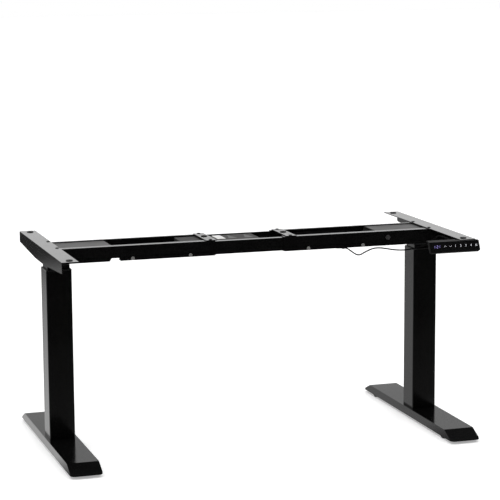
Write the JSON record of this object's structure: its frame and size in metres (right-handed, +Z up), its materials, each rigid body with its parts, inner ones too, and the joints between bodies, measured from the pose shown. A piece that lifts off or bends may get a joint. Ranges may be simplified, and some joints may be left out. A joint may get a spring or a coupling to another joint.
{
  "type": "standing desk frame",
  "caption": "Electric sit-stand desk frame without its top: telescoping columns on long flat feet, a widening beam, side brackets, a control box and a tilted handset.",
  "frame": {"origin": "on the floor, half way between the two legs, at the lowest height", "axes": "+X to the right of a person sitting at the desk, +Y away from that person, +Z up"},
  "size_m": [1.234, 0.71, 0.5995],
  "materials": {
    "frame_coat": "semi-gloss black powder coat",
    "head_coat": "satin dark powder coat",
    "inner_steel": "bare steel",
    "fastener_black": "black zinc",
    "column_plastic": "matte black plastic",
    "glide_plastic": "matte black plastic",
    "grommet_rubber": "black rubber",
    "box_plastic": "matte dark plastic",
    "port_plastic": "matte black plastic",
    "handset_plastic": "satin black plastic",
    "handset_gloss": "glossy black",
    "lead_jacket": "matte black jacket"
  },
  "bodies": {
    "left_base": {"left_foot": "frame_coat", "left_outer_tube": "frame_coat", "left_outer_collar": "column_plastic"},
    "left_screw": {"left_base_screw": "inner_steel"},
    "left_front_glide": {"left_front_glide": "glide_plastic"},
    "left_rear_glide": {"left_rear_glide": "glide_plastic"},
    "left_middle": {"left_middle_tube": "frame_coat", "left_middle_glides": "column_plastic", "left_spindle_sleeve": "inner_steel"},
    "left_head": {"left_inner_tube": "frame_coat", "left_inner_shoe": "column_plastic", "left_gearbox": "head_coat", "left_motor": "head_coat", "left_head_plate": "head_coat", "left_front_rail": "frame_coat", "left_rear_rail": "frame_coat", "left_rail_fasteners": "fastener_black", "left_side_bracket": "frame_coat", "left_cross_plate": "frame_coat", "left_grommets": "grommet_rubber"},
    "left_spindle": {"left_spindle": "inner_steel"},
    "right_base": {"right_foot": "frame_coat", "right_outer_tube": "frame_coat", "right_outer_collar": "column_plastic"},
    "right_screw": {"right_base_screw": "inner_steel"},
    "right_front_glide": {"right_front_glide": "glide_plastic"},
    "right_rear_glide": {"right_rear_glide": "glide_plastic"},
    "right_middle": {"right_middle_tube": "frame_coat", "right_middle_glides": "column_plastic", "right_spindle_sleeve": "inner_steel"},
    "right_head": {"right_inner_tube": "frame_coat", "right_inner_shoe": "column_plastic", "right_gearbox": "head_coat", "right_motor": "head_coat", "right_head_plate": "head_coat", "right_front_rail": "frame_coat", "right_rear_rail": "frame_coat", "right_rail_fasteners": "fastener_black", "right_side_bracket": "frame_coat", "right_cross_plate": "frame_coat", "right_grommets": "grommet_rubber", "handset_housing": "handset_plastic", "handset_fascia": "handset_gloss", "handset_lead": "lead_jacket", "handset_lead_clip": "column_plastic"},
    "right_spindle": {"right_spindle": "inner_steel"},
    "beam_centre": {"centre_front_rail": "frame_coat", "centre_rear_rail": "frame_coat", "control_box_housing": "box_plastic", "control_box_lid": "box_plastic", "control_box_ports": "port_plastic", "left_motor_lead": "lead_jacket", "right_beam_leads": "lead_jacket"},
    "key_up": {"handset_key_up": "handset_gloss"},
    "key_down": {"handset_key_down": "handset_gloss"},
    "key_memory_one": {"handset_key_memory_one": "handset_gloss"},
    "key_memory_two": {"handset_key_memory_two": "handset_gloss"},
    "key_memory_three": {"handset_key_memory_three": "handset_gloss"},
    "key_memory_four": {"handset_key_memory_four": "handset_gloss"},
    "key_lock": {"handset_key_lock": "handset_gloss"}
  },
  "joints": [
    {"name": "left_lower_lift", "type": "slide", "parent": "left_base", "child": "left_middle", "axis": [0, 0, 1], "range_m": [0, 0.325]},
    {"name": "left_upper_lift", "type": "slide", "parent": "left_middle", "child": "left_head", "axis": [0, 0, 1], "range_m": [0, 0.325]},
    {"name": "right_upper_lift", "type": "slide", "parent": "right_head", "child": "right_middle", "axis": [0, 0, -1], "range_m": [0, 0.325]},
    {"name": "right_lower_lift", "type": "slide", "parent": "right_middle", "child": "right_base", "axis": [0, 0, -1], "range_m": [0, 0.325]},
    {"name": "left_width", "type": "slide", "parent": "left_head", "child": "beam_centre", "axis": [1, 0, 0], "range_m": [-0.012, 0.2], "deforming": ["left_motor_lead"]},
    {"name": "right_width", "type": "slide", "parent": "beam_centre", "child": "right_head", "axis": [1, 0, 0], "range_m": [-0.012, 0.2], "deforming": ["right_beam_leads"]},
    {"name": "left_front_levelling", "type": "slide", "parent": "left_base", "child": "left_front_glide", "axis": [0, 0, -1], "range_m": [0, 0.01]},
    {"name": "left_rear_levelling", "type": "slide", "parent": "left_base", "child": "left_rear_glide", "axis": [0, 0, -1], "range_m": [0, 0.01]},
    {"name": "right_front_levelling", "type": "slide", "parent": "right_base", "child": "right_front_glide", "axis": [0, 0, -1], "range_m": [0, 0.01]},
    {"name": "right_rear_levelling", "type": "slide", "parent": "right_base", "child": "right_rear_glide", "axis": [0, 0, -1], "range_m": [0, 0.01]},
    {"name": "left_spindle_turn", "type": "hinge", "parent": "left_head", "child": "left_spindle", "pos_m": [-0.5675, 0, 0.5515], "axis": [0, 0, 1], "range_deg": [0, 23401]},
    {"name": "left_screw_turn", "type": "hinge", "parent": "left_base", "child": "left_screw", "pos_m": [-0.5675, 0, 0.0325], "axis": [0, 0, 1], "range_deg": [0, 23401]},
    {"name": "right_spindle_turn", "type": "hinge", "parent": "right_head", "child": "right_spindle", "pos_m": [0.5675, 0, 0.5515], "axis": [0, 0, 1], "range_deg": [0, 23401]},
    {"name": "right_screw_turn", "type": "hinge", "parent": "right_base", "child": "right_screw", "pos_m": [0.5675, 0, 0.0325], "axis": [0, 0, 1], "range_deg": [0, 23401]},
    {"name": "press_up", "type": "slide", "parent": "right_head", "child": "key_up", "axis": [0, 0.8949, -0.4462], "range_m": [0, 0.0008], "stiffness_N_per_m": 1500, "springref_m": -0.0002},
    {"name": "press_down", "type": "slide", "parent": "right_head", "child": "key_down", "axis": [0, 0.8949, -0.4462], "range_m": [0, 0.0008], "stiffness_N_per_m": 1500, "springref_m": -0.0002},
    {"name": "press_memory_one", "type": "slide", "parent": "right_head", "child": "key_memory_one", "axis": [0, 0.8949, -0.4462], "range_m": [0, 0.0008], "stiffness_N_per_m": 1500, "springref_m": -0.0002},
    {"name": "press_memory_two", "type": "slide", "parent": "right_head", "child": "key_memory_two", "axis": [0, 0.8949, -0.4462], "range_m": [0, 0.0008], "stiffness_N_per_m": 1500, "springref_m": -0.0002},
    {"name": "press_memory_three", "type": "slide", "parent": "right_head", "child": "key_memory_three", "axis": [0, 0.8949, -0.4462], "range_m": [0, 0.0008], "stiffness_N_per_m": 1500, "springref_m": -0.0002},
    {"name": "press_memory_four", "type": "slide", "parent": "right_head", "child": "key_memory_four", "axis": [0, 0.8949, -0.4462], "range_m": [0, 0.0008], "stiffness_N_per_m": 1500, "springref_m": -0.0002},
    {"name": "press_lock", "type": "slide", "parent": "right_head", "child": "key_lock", "axis": [0, 0.8949, -0.4462], "range_m": [0, 0.0008], "stiffness_N_per_m": 1500, "springref_m": -0.0002}
  ],
  "couplings": [
    {"joint": "left_upper_lift", "follows": "left_lower_lift", "ratio": 1},
    {"joint": "right_upper_lift", "follows": "left_lower_lift", "ratio": 1},
    {"joint": "right_lower_lift", "follows": "left_lower_lift", "ratio": 1},
    {"joint": "left_spindle_turn", "follows": "left_lower_lift", "rad_per_m": 1256.6},
    {"joint": "left_screw_turn", "follows": "left_lower_lift", "rad_per_m": 1256.6},
    {"joint": "right_spindle_turn", "follows": "left_lower_lift", "rad_per_m": 1256.6},
    {"joint": "right_screw_turn", "follows": "left_lower_lift", "rad_per_m": 1256.6}
  ]
}
